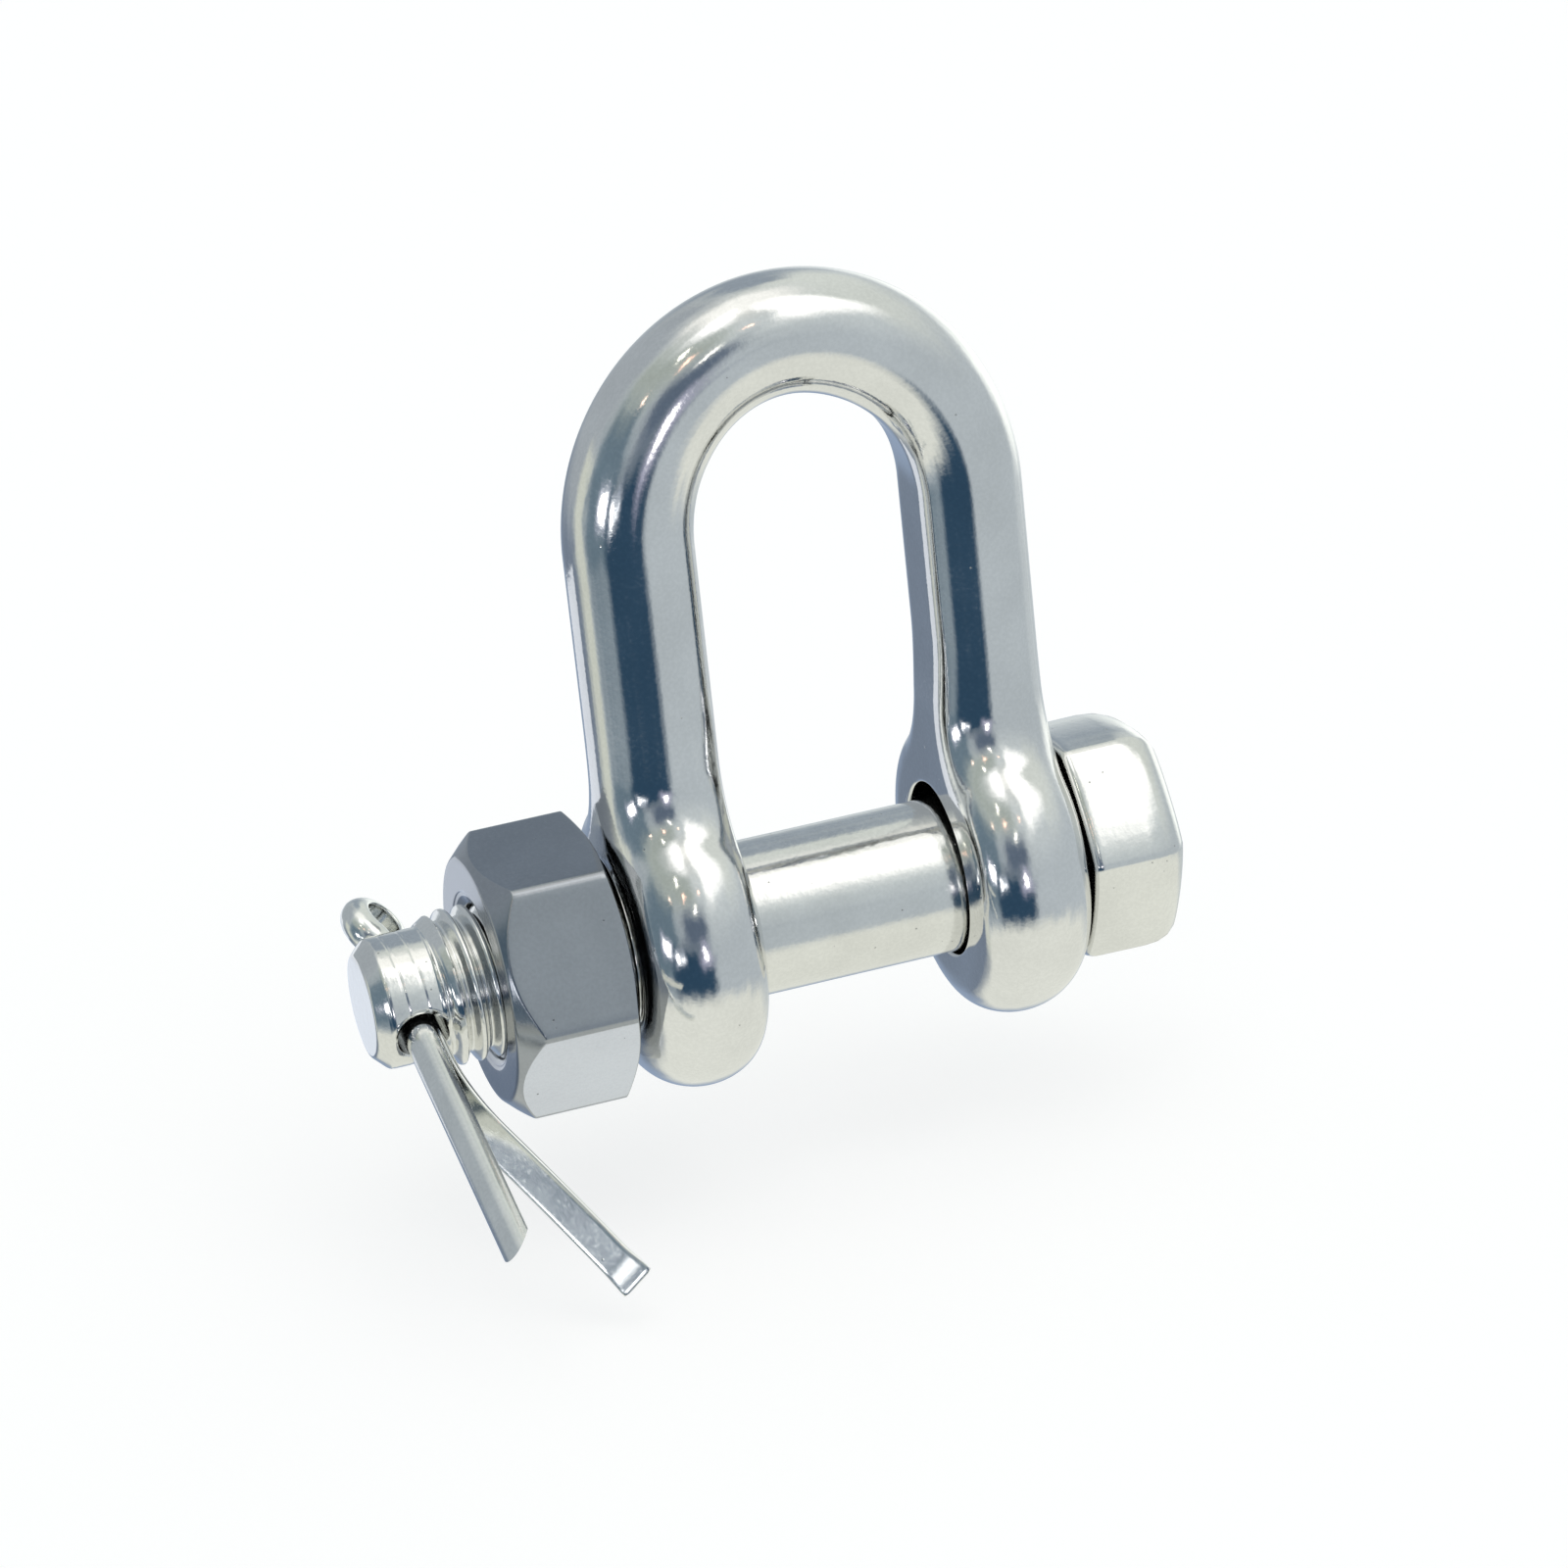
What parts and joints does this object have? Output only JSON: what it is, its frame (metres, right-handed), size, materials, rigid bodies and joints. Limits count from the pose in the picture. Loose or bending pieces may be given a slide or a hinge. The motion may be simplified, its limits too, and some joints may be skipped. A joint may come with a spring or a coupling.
{
  "type": "dee shackle",
  "caption": "Polished stainless dee shackle: a bow with two eyes, a hexagon-headed bolt across the jaw, a nut on its thread and a split pin that locks it.",
  "frame": {"origin": "middle of the jaw on the bolt's axis", "axes": "+X along the bolt towards its head, +Z from the bolt towards the crown of the bow, -Y towards the side the split pin's legs come out of"},
  "size_m": [0.0855, 0.055, 0.0898],
  "materials": {
    "polished_bow": "polished stainless steel",
    "polished_bolt": "polished stainless steel",
    "satin_nut": "satin stainless steel",
    "split_pin_wire": "drawn stainless steel wire"
  },
  "bodies": {
    "bow_body": {"bow": "polished_bow"},
    "bolt_body": {"bolt": "polished_bolt"},
    "nut_body": {"nut": "satin_nut"},
    "pin_body": {"split_pin": "split_pin_wire"}
  },
  "joints": [
    {"name": "bolt_turn", "type": "hinge", "parent": "bow_body", "child": "bolt_body", "pos_m": [0, 0, 0], "axis": [1, 0, 0], "range_deg": [-144, 630]},
    {"name": "nut_travel", "type": "slide", "parent": "bow_body", "child": "nut_body", "axis": [-1, 0, 0], "range_m": [-0.0008, 0.0035]},
    {"name": "split_pin_slide", "type": "slide", "parent": "bolt_body", "child": "pin_body", "axis": [0, 0.9511, 0.309], "range_m": [0, 0.0025]}
  ],
  "couplings": [
    {"joint": "nut_travel", "follows": "bolt_turn", "m_per_rad": 0.0003183}
  ]
}
